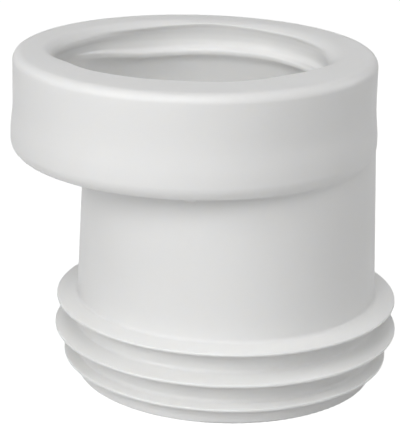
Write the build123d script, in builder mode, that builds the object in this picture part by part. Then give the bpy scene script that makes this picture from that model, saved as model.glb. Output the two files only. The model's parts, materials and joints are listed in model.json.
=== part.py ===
from build123d import *
from math import cos, radians, sin, tan
import os

# An offset connector between a toilet pan and a soil pipe, moulded in one soft white piece.
# The origin is the centre of the tail's end face, +Z runs up the barrel to the cup,
# and the cup is set off towards -X. Sizes are in millimetres and angles in degrees.

# Tail and barrel: the tube that goes into the soil pipe, drafted in towards the cup
tail_od = 102.8
tail_wall = 4.4
barrel_draft = 2.2
bore_draft = 1.4
tail_outer_round = 0.9
tail_inner_round = 0.5

# Fins: thin skirts around the tail that bend to seal in the pipe, from the end upwards
fin_heights = (6.8, 16.6, 27.0)
fin_reaches = (4.6, 7.7, 7.1)
fin_land = 0.9
fin_edge_round = 0.3
fin_flare_radius = 1.4
fin_top_slope = 8.0
fin_under_slope = 14.0
fin_root_depth = 1.0
fin_root_round = 0.5

# Cup: the socket that takes the pan's outlet, almost flush with the barrel at +X
cup_base = 77.9
cup_height = 34.4
cup_od = 122.0
cup_wall = 3.2
cup_floor = 4.0
cup_top_round = 3.2
cup_base_round = 5.0
skirt_swell = 0.9
skirt_height = 20.0
flush_step = 0.15
junction_round = 2.5
floor_round = 0.4

# Mouth lip: the ring that closes the cup in to the mouth, past the sleeve under it,
# and is rolled down softly at its edge
mouth_overhang = 4.5
mouth_roll = 10.0
mouth_roll_turn = 20.0
mouth_edge_round = 0.5
mouth_land = 0.45
mouth_under_round = 0.15
mouth_root = 3.4

# Sleeve: the thin tube that hangs from the mouth lip and stretches over the pan's outlet,
# with a pocket between it and the cup's wall
sleeve_wall = 2.8
sleeve_length = 25.5
sleeve_end_round = 1.2
pocket_width = 5.5
pocket_depth = 4.0
pocket_round = 2.0
groove_round = 2.0

# Rib: the second sealing ring, around the inside of the sleeve
rib_height = 4.0
rib_depth = 11.3
rib_width = 2.4
rib_slope = 14.0
rib_round = 1.1
rib_root_round = 3.0

# Gate mark: the low pad left under the cup's front edge where the mould was filled
gate_diameter = 3.8
gate_height = 0.3
gate_angle = -86.0

# Sizes that follow from those above
tail_radius = tail_od / 2
tail_bore_radius = tail_radius - tail_wall
hollow_depth = cup_height - cup_floor
cup_top = cup_base + cup_height
floor_height = cup_base + cup_floor

# All in the socket is sized from the cup's outside inwards: wall, pocket, sleeve, rib and mouth
cup_radius = cup_od / 2
skirt_radius = cup_radius + skirt_swell
hollow_radius = cup_radius - cup_wall
sleeve_radius = hollow_radius - pocket_width - sleeve_wall
rib_radius = sleeve_radius - rib_height
mouth_radius = sleeve_radius - mouth_overhang

# Depths of the rib, whose flanks run out to the sleeve's wall at a slope
rib_spread = (sleeve_radius - rib_radius) * tan(radians(rib_slope))
rib_top = rib_depth - rib_width / 2
rib_foot = rib_depth + rib_width / 2


def flare_start(tip_height, reach):
    """Height on the tube where a fin's upper face begins to curve outwards."""
    turn = radians(90 - fin_top_slope)
    straight_reach = reach - fin_flare_radius * (1 - cos(turn))
    straight_drop = straight_reach * tan(radians(fin_top_slope))
    return tip_height + fin_land / 2 + straight_drop + fin_flare_radius * sin(turn)


def barrel_radius(height):
    """Radius of the barrel's outside, which is drafted from the top fin upwards."""
    return tail_radius - (height - barrel_foot) * tan(radians(barrel_draft))


barrel_foot = flare_start(fin_heights[-1], fin_reaches[-1])
bore_top_radius = tail_bore_radius - floor_height * tan(radians(bore_draft))
cup_offset = skirt_radius - barrel_radius(cup_base) - flush_step
cup_axis = Axis((-cup_offset, 0, 0), (0, 0, 1))
cup_plane = Plane((-cup_offset, 0, cup_base), x_dir=(1, 0, 0), z_dir=(0, -1, 0))
mouth_plane = Plane((-cup_offset, 0, cup_top), x_dir=(1, 0, 0), z_dir=(0, -1, 0))

with BuildPart() as pan_connector:
    # Tube: straight behind the fins, then drafted up to the cup's floor
    with BuildSketch(Plane.XZ):
        with BuildLine():
            Polyline(
                (0, 0),
                (tail_radius, 0),
                (tail_radius, barrel_foot),
                (barrel_radius(floor_height), floor_height),
                (0, floor_height),
                close=True,
            )
        make_face()
    revolve(axis=Axis.Z)

    # Fins: each has a hollow flare above, a narrow land at the tip and a shallow cone below
    for tip_height, reach in zip(fin_heights, fin_reaches):
        tip_radius = tail_radius + reach
        root_radius = tail_radius - fin_root_depth
        land_foot = tip_height - fin_land / 2
        under_drop = (tip_radius - root_radius) * tan(radians(fin_under_slope))
        with BuildSketch(Plane.XZ) as fin:
            with BuildLine():
                flare = JernArc(
                    start=(tail_radius, flare_start(tip_height, reach)),
                    tangent=(0, -1),
                    radius=fin_flare_radius,
                    arc_size=90 - fin_top_slope,
                )
                Polyline(
                    flare @ 1,
                    (tip_radius, land_foot + fin_land),
                    (tip_radius, land_foot),
                    (root_radius, land_foot - under_drop),
                    (root_radius, (flare @ 0).Y),
                    flare @ 0,
                )
            make_face()
            fillet(fin.vertices().group_by(Axis.X)[-1], fin_edge_round)
        revolve(axis=Axis.Z)
        fillet(pan_connector.edges(Select.NEW), fin_root_round)

    # Cup: the outside, a plain wall that swells a little into a rounded skirt
    with BuildSketch(cup_plane):
        with BuildLine():
            base_turn = JernArc(
                start=(skirt_radius - cup_base_round, 0),
                tangent=(1, 0),
                radius=cup_base_round,
                arc_size=90,
            )
            easing = Vector(0, (skirt_height - cup_base_round) / 2)
            waist = Vector(cup_radius, skirt_height)
            Bezier(base_turn @ 1, base_turn @ 1 + easing, waist - easing, waist)
            top_turn = JernArc(
                start=(cup_radius, cup_height - cup_top_round),
                tangent=(0, 1),
                radius=cup_top_round,
                arc_size=90,
            )
            Line(waist, top_turn @ 0)
            Polyline(top_turn @ 1, (0, cup_height), (0, 0), base_turn @ 0)
        make_face()
    revolve(axis=cup_axis)
    fillet(pan_connector.edges(Select.NEW), junction_round)

    # Gate mark: half of it under the flat of the cup's base, half under the rounded edge
    with BuildSketch(Plane.XY.offset(cup_base - gate_height)):
        with Locations((-cup_offset, 0)):
            with PolarLocations(skirt_radius - cup_base_round, 1, start_angle=gate_angle):
                Circle(gate_diameter / 2)
    extrude(amount=gate_height + cup_floor / 2)

    # Socket: in past the lip, down the sleeve's ribbed inside and up its back, then the cup's wall
    roll_reach = mouth_roll * sin(radians(mouth_roll_turn))
    edge_reach = mouth_edge_round * (1 - sin(radians(mouth_roll_turn)))
    with BuildSketch(mouth_plane):
        with BuildLine():
            roll = JernArc(
                start=(mouth_radius + edge_reach + roll_reach, 0),
                tangent=(-1, 0),
                radius=mouth_roll,
                arc_size=mouth_roll_turn,
            )
            edge_turn = JernArc(
                start=roll @ 1,
                tangent=roll % 1,
                radius=mouth_edge_round,
                arc_size=90 - mouth_roll_turn,
            )
            FilletPolyline(
                edge_turn @ 1,
                (mouth_radius, (edge_turn @ 1).Y - mouth_land),
                (sleeve_radius, -mouth_root),
                (sleeve_radius, -rib_top + rib_spread),
                (rib_radius, -rib_top),
                (rib_radius, -rib_foot),
                (sleeve_radius, -rib_foot - rib_spread),
                (sleeve_radius, -sleeve_length),
                (sleeve_radius + sleeve_wall, -sleeve_length),
                (sleeve_radius + sleeve_wall, -pocket_depth),
                (hollow_radius, -pocket_depth),
                (hollow_radius, -hollow_depth),
                (0, -hollow_depth),
                radius=(
                    mouth_under_round,
                    groove_round,
                    rib_root_round,
                    rib_round,
                    rib_round,
                    rib_root_round,
                    sleeve_end_round,
                    sleeve_end_round,
                    pocket_round,
                    pocket_round,
                    floor_round,
                ),
            )
            Polyline((0, -hollow_depth), (0, 0), roll @ 0)
        make_face()
    revolve(axis=cup_axis, mode=Mode.SUBTRACT)

    # Waterway: the drafted bore from the socket's floor down to the tail's end
    with BuildSketch(Plane.XZ):
        with BuildLine():
            Polyline(
                (0, 0),
                (tail_bore_radius, 0),
                (bore_top_radius, floor_height),
                (0, floor_height),
                close=True,
            )
        make_face()
    revolve(axis=Axis.Z, mode=Mode.SUBTRACT)
    fillet(pan_connector.edges().group_by(Axis.Z)[0].sort_by(SortBy.RADIUS)[-1], tail_outer_round)
    fillet(pan_connector.edges().group_by(Axis.Z)[0].sort_by(SortBy.RADIUS)[0], tail_inner_round)

pan_connector.part.label = "pan_connector"
os.makedirs("parts", exist_ok=True)
export_step(pan_connector.part, "parts/pan_connector.step")
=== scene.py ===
# %% [markdown]
# # A soft white toilet pan connector
#
# The object is one moulding in soft white plastic. A wide cup at the top grips the
# outlet of a toilet pan, a plain barrel hangs under one side of the cup, and three
# thin fins around the tail seal in the soil pipe. The solid comes from the CAD frame,
# in metres, with +Z up the barrel. This script gives it its looks: the limp lip and rib
# in the mouth, the plastic, a pale studio and a camera where the photographer stood.

# %% Load the frame and keep its box
import json
import math

import bmesh
import bpy
from mathutils import Matrix, Vector


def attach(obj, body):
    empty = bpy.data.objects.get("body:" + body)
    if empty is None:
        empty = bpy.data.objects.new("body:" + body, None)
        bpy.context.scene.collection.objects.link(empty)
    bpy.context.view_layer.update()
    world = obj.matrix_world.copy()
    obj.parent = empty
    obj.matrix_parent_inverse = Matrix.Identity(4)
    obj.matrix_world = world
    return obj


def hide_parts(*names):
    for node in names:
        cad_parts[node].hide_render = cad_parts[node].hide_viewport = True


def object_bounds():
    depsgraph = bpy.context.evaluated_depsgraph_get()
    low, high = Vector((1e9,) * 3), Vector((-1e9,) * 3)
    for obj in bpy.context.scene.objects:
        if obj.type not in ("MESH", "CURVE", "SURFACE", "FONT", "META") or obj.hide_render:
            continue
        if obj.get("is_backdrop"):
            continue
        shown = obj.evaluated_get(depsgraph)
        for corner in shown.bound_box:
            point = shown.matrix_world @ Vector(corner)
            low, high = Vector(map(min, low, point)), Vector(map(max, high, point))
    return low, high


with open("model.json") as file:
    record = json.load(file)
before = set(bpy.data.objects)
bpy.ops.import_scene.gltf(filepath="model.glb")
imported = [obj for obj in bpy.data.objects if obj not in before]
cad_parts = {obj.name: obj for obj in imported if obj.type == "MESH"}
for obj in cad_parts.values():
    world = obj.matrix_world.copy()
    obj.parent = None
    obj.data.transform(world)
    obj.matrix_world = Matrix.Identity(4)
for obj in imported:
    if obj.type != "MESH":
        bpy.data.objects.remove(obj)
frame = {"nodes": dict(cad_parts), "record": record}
cad_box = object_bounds()
solid = frame["nodes"]["pan_connector"]
print("solid:", solid.name, "with", len(solid.data.polygons), "faces")
print("box, low corner:", [round(v, 4) for v in cad_box[0]])
print("box, high corner:", [round(v, 4) for v in cad_box[1]])

# %% [markdown]
# ## Where the cup is
#
# The cup doesn't stand over the middle of the barrel. Its axis is parallel to the
# barrel's, and set off towards -X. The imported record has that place: it is where the
# mouth's mount is. Reading it there, instead of typing it again, keeps this script
# true if the part is ever packed with another offset.

# %% Read the cup's axis from the record
mm = 0.001
mounts = {mount["name"]: mount for mount in frame["record"]["mounts"]}
cup_x = mounts["inlet_mouth"]["pos_m"][0]
cup_top = cad_box[1][2]
mouth = mounts["inlet_mouth"]["dims"]["r_mm"]
print("cup axis at x:", round(cup_x, 5), "top at:", round(cup_top, 4), "mouth radius in mm:", mouth)


def from_cup_axis(point):
    """Distance of a point from the cup's axis."""
    return math.hypot(point.x - cup_x, point.y)


# %% [markdown]
# ## The body of the moulding
#
# The finish has to flow over cup, barrel and fins without a seam, because the real
# thing comes out of one mould. So the piece starts as a copy of the solid's own mesh.
# Its faces arrive with doubled points along every edge, which would split the shading,
# so they are welded first. Then the cup's flat top, the lip, the rib and the sleeve's
# inside wall are cut out: in the CAD they are perfect rings, and on the real part they
# are the one thing that isn't. The sleeve's lower end, its back and the pocket behind it
# stay as they are.

# %% Copy the mesh, weld it and take the lip and the rib out
weld_distance = 0.001 * mm
near_enough = 0.01 * mm
# Radii from the cup's axis and depths below its top, in millimetres
wall = 57.8
sleeve = 49.5
lip_thickness = 2.5
cut_depth = 24.3

body = bmesh.new()
body.from_mesh(solid.data)
bmesh.ops.remove_doubles(body, verts=body.verts, dist=weld_distance)


def is_soft(face):
    """True for a face of the flat top and its lip, or of the sleeve's inside down to the cut."""
    radius = max(from_cup_axis(vert.co) for vert in face.verts)
    depth = max(cup_top - vert.co.z for vert in face.verts)
    on_top = radius < wall * mm + near_enough and depth < lip_thickness * mm
    inside = radius < sleeve * mm + near_enough and depth < cut_depth * mm + near_enough
    return on_top or inside


soft_faces = [face for face in body.faces if is_soft(face)]
bmesh.ops.delete(body, geom=soft_faces, context="FACES")
open_edges = [edge for edge in body.edges if edge.is_boundary]
print("faces taken out:", len(soft_faces), "edges left open:", len(open_edges))

# %% [markdown]
# ## How the lip lies
#
# The mouth lip closes the top of the cup, and under it hangs a thin sleeve with a second
# sealing ring, a rounded rib. In the CAD the lip is the same all around. The real one is
# limp, and lies in three ways: flat at the front, rolled down at the back, and pulled back
# at the left and right ends, where the top runs over into the sleeve in one soft curve. The
# lip could be sculpted by hand, but then nobody could change it by a number. So each way
# is drawn as a line from the cup's wall to the groove behind the lip, in points of radius
# and depth below the cup's top, in millimetres. All three have as many points in their
# top, edge and underside, so a point can stand anywhere between the three.

# %% Make the tools to draw a line with
corner_steps = 8


def between(value, low=0.0, high=1.0):
    """A value kept between two others."""
    return max(low, min(high, value))


def arc(middle, radius, start, end):
    """Points along an arc; degrees run from the radius direction towards the depth direction."""
    points = []
    for step in range(corner_steps + 1):
        turn = math.radians(start + (end - start) * step / corner_steps)
        points.append(Vector(middle) + radius * Vector((math.cos(turn), math.sin(turn))))
    return points


def rounded(corners):
    """Points along a line through corners of radius and depth, each with its own rounding."""
    places = [Vector(corner[:2]) for corner in corners]
    line = [places[0]]
    for before, corner, after, (_, _, rounding) in zip(places, places[1:], places[2:], corners[1:]):
        back = (before - corner).normalized()
        ahead = (after - corner).normalized()
        half = math.acos(between(back.dot(ahead), -1.0, 1.0)) / 2
        middle = corner + (back + ahead).normalized() * (rounding / math.sin(half))
        first = corner + back * (rounding / math.tan(half))
        last = corner + ahead * (rounding / math.tan(half))
        for step in range(corner_steps + 1):
            spoke = (first - middle).lerp(last - middle, step / corner_steps).normalized()
            line.append(middle + spoke * rounding)
    return line + [places[-1]]


def spread(line, count, low=0.0, high=1.0):
    """Points spread evenly along a line, between two shares of its length."""
    lengths = [(end - start).length for start, end in zip(line, line[1:])]
    points = []
    for step in range(count + 1):
        left = (low + (high - low) * step / count) * sum(lengths)
        index = 0
        while index < len(lengths) - 1 and left > lengths[index]:
            left -= lengths[index]
            index += 1
        points.append(line[index].lerp(line[index + 1], min(1.0, left / lengths[index])))
    return points


print("points on a rounded corner:", corner_steps + 1)

# %% Draw the lip in its three ways
top_points, edge_points, under_points = 20, 8, 16


def joined(top, edge, underside):
    """One line from a top, an edge and an underside, each with its own number of points."""
    line = [top[0]]
    for part, count in ((top, top_points), (edge, edge_points), (underside, under_points)):
        line += spread(part, count)[1:]
    return line


top_margin = 0.2
top_start = Vector((wall - top_margin, 0.0))
edge_round = 0.5

# The groove's root under the lip, and the cove that runs down from it
groove_root = 48.1
groove = 48.5
groove_depth = 6.0
# A corner is written as radius, depth and rounding
groove_bend = (groove, 5.0, 5.0)
groove_end = (groove, groove_depth, 0)

# Flat, at the front
flat_edge = (mouth, edge_round, 0)
flat_edge_foot = (mouth, 1.0, 0.2)
flat_root = (groove_root, 2.8, 1.2)
flat_lip = joined(
    [top_start, Vector((mouth + edge_round, 0.0))],
    arc((mouth + edge_round, edge_round), edge_round, -90, -180),
    rounded([flat_edge, flat_edge_foot, flat_root, groove_bend, groove_end]),
)

# Rolled down, at the back
rolled_edge = 47.6
roll_radius, roll_turn, roll_run = 5.0, 38.0, 0.8
slope = math.radians(roll_turn)
roll_reach = roll_radius * math.sin(slope) + roll_run * math.cos(slope)
roll_drop = roll_radius * (1 - math.cos(slope)) + roll_run * math.sin(slope)
edge_middle = Vector((rolled_edge + edge_round, roll_drop + edge_round * math.cos(slope)))
roll_start = edge_middle.x - edge_round * math.sin(slope) + roll_reach
rolled_edge_end = (rolled_edge, edge_middle.y, 0)
rolled_edge_foot = (rolled_edge, edge_middle.y + 0.3, 0.15)
rolled_root = (groove_root, edge_middle.y + 1.2, 0.6)
rolled_lip = joined(
    [top_start] + arc((roll_start, roll_radius), roll_radius, -90, -90 - roll_turn),
    arc(edge_middle, edge_round, -90 - roll_turn, -180),
    rounded([rolled_edge_end, rolled_edge_foot, rolled_root, groove_bend, groove_end]),
)

# Pulled back, at the left and right ends: one curve, shared out as top, edge and underside
pulled_turn = (46.8, 0.9, 4.0)
pulled_line = rounded([(top_start.x, 0, 0), pulled_turn, groove_end])
pulled_points = 60
top_share, edge_share = 0.62, 0.74
pulled_lip = joined(
    spread(pulled_line, pulled_points, 0.0, top_share),
    spread(pulled_line, pulled_points, top_share, edge_share),
    spread(pulled_line, pulled_points, edge_share, 1.0),
)
print("points on the lip:", len(flat_lip), len(rolled_lip), len(pulled_lip))

# %% [markdown]
# ## The rib
#
# Inside the sleeve a second, rounded ring presses on the outlet behind the lip. It could
# be a ring of its own, pushed into the wall, but then a seam would show all around. So it
# is drawn as a bulge in the same line that comes down from the lip, and in two ways. Where
# the rib stands freely, its upper side is steep. Where the sleeve is drawn in, that side is
# eased into a slope with a fine step in it. Below the rib the wall runs out slowly to the
# sleeve's lower end.

# %% Draw the rib in its two ways
rib = 46.0
rib_depth = 11.3
rib_points = 60
foot_margin = 0.6

# Corners of radius, depth and rounding again, from the groove downwards
cove_bend = (groove, 7.0, 5.0)
steep_root = (48.0, 9.4, 0.9)
steep_crest = (rib, 10.3, 1.0)
eased_root = (48.2, 8.0, 1.5)
step_top = (46.7, 9.5, 0.7)
step_foot = (46.5, 10.4, 0.5)
eased_crest = (rib, 11.0, 0.5)
crest_foot = (rib, 12.0, 0.8)
foot_bend = (47.8, 14.2, 5.0)
foot_end = (sleeve, cut_depth - foot_margin, 0)

rib_head = [groove_end, cove_bend]
rib_foot = [crest_foot, foot_bend, foot_end]
steep_line = rounded(rib_head + [steep_root, steep_crest] + rib_foot)
eased_line = rounded(rib_head + [eased_root, step_top, step_foot, eased_crest] + rib_foot)
# The first point is the lip's last one
steep_rib = spread(steep_line, rib_points)[1:]
eased_rib = spread(eased_line, rib_points)[1:]
print("points on the rib:", len(steep_rib), len(eased_rib))

# %% [markdown]
# ## How far it lies each way
#
# All of it is written every fifteen degrees around the cup, and a smooth curve runs
# through the numbers: how much of the lip is rolled or pulled back there, how far the
# rolled edge sags, how far the lip leans in and the groove under it is drawn in, then how
# far the rib has slipped down, how much of it still stands out and how much its upper side
# is eased into a slope. At the back the lip sags in two places and lifts between them. At
# the front it wavers in and out. On the left the pull has stretched the rib flat. On the
# right the sleeve is drawn in, and the rib's top is a gentle slope with a fine step in it.

# %% Write down how the lip and the rib lie
# One number every 15 degrees from +X round by the back, +Y: shares, or millimetres
rolled = [0.0, 0.1, 0.5, 0.9, 1.0, 1.0, 1.0, 1.0, 0.9, 0.3, 0.0, 0.0,
          0.0, 0.0, 0.0, 0.0, 0.0, 0.0, 0.0, 0.0, 0.0, 0.0, 0.0, 0.0]
pulled = [0.9, 0.9, 0.5, 0.1, 0.0, 0.0, 0.0, 0.0, 0.1, 0.7, 1.0, 1.0,
          1.0, 0.7, 0.2, 0.0, 0.0, 0.0, 0.0, 0.0, 0.0, 0.0, 0.0, 0.4]
sag = [0.4, 0.5, 0.2, 0.05, -0.03, -0.57, -0.9, -0.15, 0.5, 0.4, 0.0, 0.0,
       0.0, 0.0, 0.0, 0.0, 0.0, 0.0, 0.0, 0.0, 0.0, 0.0, 0.0, 0.2]
lean = [2.4, 2.3, 1.2, 0.4, 0.0, 0.0, 0.0, 0.0, 0.0, 0.0, 0.0, 0.0,
        0.0, 0.4, 0.1, -0.8, 0.3, 1.15, 1.9, 1.1, 1.0, 1.6, 0.4, 1.2]
drawn = [1.6, 1.5, 0.9, 0.3, 0.0, 0.0, 0.0, 0.0, 0.0, 0.0, 0.0, 0.0,
         0.0, 0.0, 0.0, 0.0, 0.0, 0.0, 0.0, 0.0, 0.0, 0.0, 0.3, 0.9]
rib_slip = [0.2, 0.2, 0.15, 0.1, -0.35, -0.3, -0.15, 0.35, 0.6, -0.65, -1.4, -1.2,
            -0.8, -0.4, -0.2, 0.0, 0.0, 0.0, 0.0, 0.0, 0.0, 0.0, 0.0, 0.1]
rib_stands = [1.0, 1.0, 1.0, 1.0, 1.0, 1.0, 1.0, 1.0, 1.0, 0.65, 0.1, -0.1,
              0.0, 0.3, 0.7, 1.0, 1.0, 1.0, 1.0, 1.0, 1.0, 1.0, 1.0, 1.0]
rib_eased = [1.0, 1.0, 1.0, 0.7, 0.3, 0.0, 0.0, 0.0, 0.0, 0.0, 0.0, 0.0,
             0.0, 0.0, 0.0, 0.0, 0.0, 0.0, 0.0, 0.0, 0.0, 0.0, 0.0, 0.5]
print("places around the cup:", len(rolled))

# %% Bend the lip and the rib that far
sag_fade = 3.0


def around(values, angle):
    """A smooth value at any angle, from values spaced evenly around a circle."""
    place = (angle / (2 * math.pi) * len(values)) % len(values)
    index, share = int(place), place - int(place)
    before, here, after, beyond = (values[(index + shift) % len(values)] for shift in (-1, 0, 1, 2))
    rise = after - before
    bend = 2 * before - 5 * here + 4 * after - beyond
    twist = 3 * (here - after) + beyond - before
    return here + 0.5 * share * (rise + share * (bend + share * twist))


def leaned(point, angle, hold):
    """A point moved in by the lean and the drawing in, or by the share of them that is held."""
    inwards = between((wall - point.x) / (wall - mouth))
    below = between(point.y / groove_depth)
    moved = around(lean, angle) * inwards + around(drawn, angle) * below
    return Vector((point.x - moved * hold, point.y))


def bent_lip(index, angle):
    """Radius and depth of a point of the lip on one side of the cup."""
    roll_share = between(around(rolled, angle))
    pull_share = between(around(pulled, angle), 0.0, 1.0 - roll_share)
    flat_share = 1.0 - roll_share - pull_share
    down = rolled_lip[index].copy()
    reach = between((roll_start - down.x) / (roll_start - rolled_edge))
    down.y += around(sag, angle) * reach * reach * between((groove_depth - down.y) / sag_fade)
    point = down * roll_share + pulled_lip[index] * pull_share + flat_lip[index] * flat_share
    return leaned(point, angle, 1.0)


def bent_rib(index, angle):
    """Radius and depth of a point of the rib, which slips and is stretched flat as a whole."""
    point = steep_rib[index].lerp(eased_rib[index], between(around(rib_eased, angle)))
    away = between(abs(point.y - rib_depth) / (rib_depth - groove_depth))
    slip = around(rib_slip, angle) * math.cos(math.pi / 2 * away) ** 2
    down = between((point.y - groove_depth) / (cut_depth - groove_depth))
    plain = groove + (sleeve - groove) * down
    radius = plain + (point.x - plain) * around(rib_stands, angle)
    hold = between((cut_depth - point.y) / (cut_depth - groove_depth))
    return leaned(Vector((radius, point.y + slip)), angle, hold)


columns = 288
angles = [2 * math.pi * column / columns for column in range(columns)]
openings = [min(bent_lip(index, angle).x for index in range(len(flat_lip))) for angle in angles]
print("mouth radius in mm, least and most:", round(min(openings), 2), round(max(openings), 2))

# %% [markdown]
# ## Turning the lip and the rib
#
# The bent line is swung around the cup's axis in small steps. A screw or spin tool would
# repeat one line, and here the line changes at every step, so the points are placed one by
# one. The turned skin is then stitched to the open edges of the body, so the piece stays
# one closed skin.

# %% Turn them and stitch them in
rings = []
for count, bent in ((len(flat_lip), bent_lip), (len(steep_rib), bent_rib)):
    for index in range(count):
        ring = []
        for angle in angles:
            radius, depth = bent(index, angle)
            across, back = radius * mm * math.cos(angle), radius * mm * math.sin(angle)
            ring.append(body.verts.new((cup_x + across, back, cup_top - depth * mm)))
        rings.append(ring)

for outer, inner in zip(rings, rings[1:]):
    for column in range(columns):
        after = (column + 1) % columns
        body.faces.new((outer[column], outer[after], inner[after], inner[column]))


def lies_at(edge, height):
    """True for an edge that lies level at a height."""
    return all(abs(vert.co.z - height) < near_enough for vert in edge.verts)


for ring, height in ((rings[0], cup_top), (rings[-1], cup_top - cut_depth * mm)):
    rim = [edge for edge in open_edges if lies_at(edge, height)]
    hoop = [body.edges.get(pair) for pair in zip(ring, ring[1:] + ring[:1])]
    bmesh.ops.bridge_loops(body, edges=rim + hoop)
bmesh.ops.recalc_face_normals(body, faces=body.faces)
print("rings:", len(rings), "edges left open:", sum(1 for edge in body.edges if not edge.is_manifold))

# %% [markdown]
# ## One piece for the whole moulding
#
# The real connector has no parts, so all of it becomes one object. It hangs from the root
# body, and the solid from the CAD is hidden. Cup, barrel and tail could each be an object,
# which is easier to edit, but the joins would show in the gloss. Round forms are shaded
# smoothly, and only a sharp turn keeps its crease.

# %% Make the piece that stands for the solid
crease_angle = 35

mesh = bpy.data.meshes.new("moulded_connector")
body.to_mesh(mesh)
body.free()
piece = bpy.data.objects.new("moulded_connector", mesh)
bpy.context.scene.collection.objects.link(piece)
mesh.shade_smooth()
mesh.set_sharp_from_angle(angle=math.radians(crease_angle))
weighted = piece.modifiers.new("even_shading", "WEIGHTED_NORMAL")
weighted.keep_sharp = True
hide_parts("pan_connector")
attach(piece, "root")
print("piece:", piece.name, "with", len(mesh.polygons), "faces")

# %% [markdown]
# ## The plastic
#
# The real connector is moulded in a soft plastic, a little like rubber, that is white all
# the way through. Light goes a millimetre or two into it before it comes out again, and
# that softens the shadows in the grooves and at the thin edges of the fins. The surface is
# satin, as the mould left it. A plain white paint would look hard and dry, so this shader
# lets the light scatter inside. Three noises keep it from being too even: a faint cloud in
# the colour, a little change in the gloss, and a slight waviness where the wall shrank.

# %% Make the soft white plastic
plastic_white = (0.9, 0.9, 0.892, 1)
scatter_depth = 1.2 * mm

plastic = bpy.data.materials.new("soft_white_plastic")
plastic.use_nodes = True
nodes, links = plastic.node_tree.nodes, plastic.node_tree.links
shader = nodes["Principled BSDF"]
shader.inputs["Base Color"].default_value = plastic_white
shader.inputs["Roughness"].default_value = 0.42
shader.inputs["Specular IOR Level"].default_value = 0.5
shader.inputs["Subsurface Weight"].default_value = 1.0
shader.inputs["Subsurface Radius"].default_value = (1.0, 0.98, 0.94)
shader.inputs["Subsurface Scale"].default_value = scatter_depth
mesh.materials.clear()
mesh.materials.append(plastic)
print("plastic:", plastic.name, "that light enters by about", round(scatter_depth / mm, 2), "mm")

# %% Give it a cloud, an uneven gloss and a slight waviness
greyer_white = (0.893, 0.892, 0.883, 1)
clearer_white = (0.907, 0.908, 0.901, 1)
cloud_start, cloud_end = 0.35, 0.65
smoothest, roughest = 0.36, 0.48
wave_strength = 0.1
wave_height = 0.2 * mm

place = nodes.new("ShaderNodeTexCoord")


def noise(spots, detail):
    """Smooth noise in the object's own coordinates, with this many spots to the metre."""
    cloud = nodes.new("ShaderNodeTexNoise")
    cloud.inputs["Scale"].default_value = spots
    cloud.inputs["Detail"].default_value = detail
    links.new(place.outputs["Object"], cloud.inputs["Vector"])
    return cloud.outputs["Fac"]


shades = nodes.new("ShaderNodeValToRGB")
shades.color_ramp.elements[0].position = cloud_start
shades.color_ramp.elements[0].color = greyer_white
shades.color_ramp.elements[1].position = cloud_end
shades.color_ramp.elements[1].color = clearer_white
links.new(noise(spots=25, detail=3), shades.inputs["Fac"])
links.new(shades.outputs["Color"], shader.inputs["Base Color"])

gloss = nodes.new("ShaderNodeMapRange")
gloss.inputs["To Min"].default_value = smoothest
gloss.inputs["To Max"].default_value = roughest
links.new(noise(spots=60, detail=2), gloss.inputs["Value"])
links.new(gloss.outputs["Result"], shader.inputs["Roughness"])

waves = nodes.new("ShaderNodeBump")
waves.inputs["Strength"].default_value = wave_strength
waves.inputs["Distance"].default_value = wave_height
links.new(noise(spots=70, detail=1), waves.inputs["Height"])
links.new(waves.outputs["Normal"], shader.inputs["Normal"])
print("nodes in the plastic:", len(nodes))

# %% [markdown]
# ## The floor and the backdrop
#
# The photo has no visible table: the connector stands on pure white, as catalogue pictures
# do. A floor lit until it is white would throw so much light back at the object that its
# own tones are lost. So the floor is plain and pale for the light that bounces around. The
# camera and the reflections see it as a greyer floor that glows a little less than white.
# The lamps add what is missing, so the soft shadow under the tail still shows. The world
# behind the floor works the same way: plain white to look at, and almost dark as a light.

# %% Make a shader that looks white and lights as something else
def empty_tree(owner):
    """The node tree of a material or a world, with nothing in it."""
    owner.use_nodes = True
    owner.node_tree.nodes.clear()
    return owner.node_tree


def white_to_see(tree, lighting, seen):
    """Shows one shader to camera, glossy and transmitted rays, and lights with the other."""
    path = tree.nodes.new("ShaderNodeLightPath")
    camera_or_glossy = tree.nodes.new("ShaderNodeMath")
    camera_or_glossy.operation = "MAXIMUM"
    any_of_them = tree.nodes.new("ShaderNodeMath")
    any_of_them.operation = "MAXIMUM"
    mix = tree.nodes.new("ShaderNodeMixShader")
    tree.links.new(path.outputs["Is Camera Ray"], camera_or_glossy.inputs[0])
    tree.links.new(path.outputs["Is Glossy Ray"], camera_or_glossy.inputs[1])
    tree.links.new(camera_or_glossy.outputs[0], any_of_them.inputs[0])
    tree.links.new(path.outputs["Is Transmission Ray"], any_of_them.inputs[1])
    tree.links.new(any_of_them.outputs[0], mix.inputs[0])
    tree.links.new(lighting.outputs[0], mix.inputs[1])
    tree.links.new(seen.outputs[0], mix.inputs[2])
    return mix


# %% Lay the floor
floor_half = 3.0
floor_pale = (0.8, 0.8, 0.8, 1)
floor_shade = (0.4, 0.4, 0.4, 1)
floor_glow = 0.9

corners = [(-floor_half, -floor_half, 0), (floor_half, -floor_half, 0)]
corners += [(floor_half, floor_half, 0), (-floor_half, floor_half, 0)]
floor_mesh = bpy.data.meshes.new("floor")
floor_mesh.from_pydata(corners, [], [(0, 1, 2, 3)])
floor = bpy.data.objects.new("floor", floor_mesh)
bpy.context.scene.collection.objects.link(floor)
floor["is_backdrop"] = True

paint = bpy.data.materials.new("floor_paint")
tree = empty_tree(paint)
pale = tree.nodes.new("ShaderNodeBsdfDiffuse")
pale.inputs["Color"].default_value = floor_pale
shade = tree.nodes.new("ShaderNodeBsdfDiffuse")
shade.inputs["Color"].default_value = floor_shade
glow = tree.nodes.new("ShaderNodeEmission")
glow.inputs["Strength"].default_value = floor_glow
glowing = tree.nodes.new("ShaderNodeAddShader")
tree.links.new(shade.outputs[0], glowing.inputs[0])
tree.links.new(glow.outputs[0], glowing.inputs[1])
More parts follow.
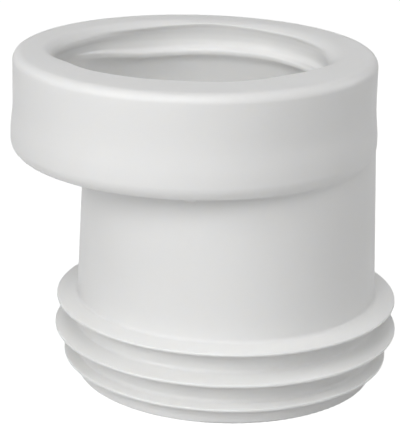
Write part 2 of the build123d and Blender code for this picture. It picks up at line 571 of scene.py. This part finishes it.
surface = tree.nodes.new("ShaderNodeOutputMaterial")
tree.links.new(white_to_see(tree, pale, glowing).outputs[0], surface.inputs["Surface"])
floor_mesh.materials.append(paint)
print("floor:", 2 * floor_half, "m across")

# %% Hang the backdrop
backdrop_white = (1, 1, 1, 1)
backdrop_light = 0.06
backdrop_seen = 1.0

world = bpy.data.worlds.new("studio")
bpy.context.scene.world = world
tree = empty_tree(world)
dim = tree.nodes.new("ShaderNodeBackground")
dim.inputs["Color"].default_value = backdrop_white
dim.inputs["Strength"].default_value = backdrop_light
white = tree.nodes.new("ShaderNodeBackground")
white.inputs["Color"].default_value = backdrop_white
white.inputs["Strength"].default_value = backdrop_seen
surface = tree.nodes.new("ShaderNodeOutputWorld")
tree.links.new(white_to_see(tree, dim, white).outputs[0], surface.inputs["Surface"])
print("backdrop:", world.name, "that lights with", backdrop_light)

# %% [markdown]
# ## The lamps
#
# White on white only reads as a form if the light comes more from one side. In the photo
# the left of the cup and the barrel is the brightest and the right falls off slowly, the
# tops of the fins are bright, and no shadow has a hard edge. That is a row of softboxes:
# one to the left, one beside the camera and one overhead, with a weaker one behind on the
# right that keeps that side from going grey. Each was lit alone, and their powers were
# balanced until the tones agreed with the photo.

# %% Hang the softboxes
aim = Vector((0, 0, 0.06))
lamp_distance = 1.2
softbox_size = 0.7


def softbox(name, azimuth, elevation, watts):
    """A round soft lamp that looks at the connector; azimuth 0 is straight in front, 90 is +X."""
    turn, lift = math.radians(azimuth), math.radians(elevation)
    level = math.cos(lift)
    away = Vector((math.sin(turn) * level, -math.cos(turn) * level, math.sin(lift)))
    light = bpy.data.lights.new(name, "AREA")
    light.shape = "DISK"
    light.size = softbox_size
    light.energy = watts
    stand = bpy.data.objects.new(name, light)
    stand.location = aim + away * lamp_distance
    stand.rotation_euler = (-away).to_track_quat("-Z", "Y").to_euler()
    bpy.context.scene.collection.objects.link(stand)
    print("lamp:", name, "at", [round(v, 2) for v in stand.location], "with", watts, "watts")


softbox("left_softbox", azimuth=-45, elevation=27, watts=4.4)
softbox("front_softbox", azimuth=0, elevation=36, watts=4.9)
softbox("top_softbox", azimuth=0, elevation=68, watts=2.6)
softbox("right_softbox", azimuth=115, elevation=20, watts=2.4)

# %% [markdown]
# ## The camera
#
# The photographer stood close and a little above the cup: the mouth shows as a flat
# ellipse, and the tail's ellipses are rounder than the cup's. The camera's place, its turn
# and its lens were found together, by moving them until the outlines of the CAD solid fell
# on the outlines in the photo. The head is tilted by a degree, because the photo is. The
# photo was probably straightened afterwards, so its upright lines are a little more upright
# than this plain camera draws them.

# %% Place the camera
photo_width, photo_height = 400, 430
focal_pixels = 1804.95
sensor = 36.0
camera_place = Vector((0.03896, -0.58795, 0.24608))
# Degrees
look_down = 17.99
look_aside = -4.718
head_tilt = -1.245

view = bpy.data.cameras.new("photo_camera")
view.sensor_width = sensor
view.lens = focal_pixels * sensor / max(photo_width, photo_height)
camera = bpy.data.objects.new("photo_camera", view)
camera.matrix_world = (
    Matrix.Translation(camera_place)
    @ Matrix.Rotation(math.radians(-look_aside), 4, "Z")
    @ Matrix.Rotation(math.radians(90 - look_down), 4, "X")
    @ Matrix.Rotation(math.radians(-head_tilt), 4, "Z")
)
bpy.context.scene.collection.objects.link(camera)
bpy.context.scene.camera = camera
bpy.context.scene.view_settings.view_transform = "Standard"
print("lens:", round(view.lens, 2), "mm on a sensor of", sensor, "mm")

# %% [markdown]
# ## The last look
#
# A new skin must not make the part bigger than its solid, or it would no longer fit where
# the record says it fits. So the high corners of the two boxes are compared, and how far
# the new one has grown is printed.

# %% Compare the boxes
new_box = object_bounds()
grown = [round((new - old) / mm, 3) for new, old in zip(new_box[1], cad_box[1])]
print("grown at the high corner, in mm:", grown)
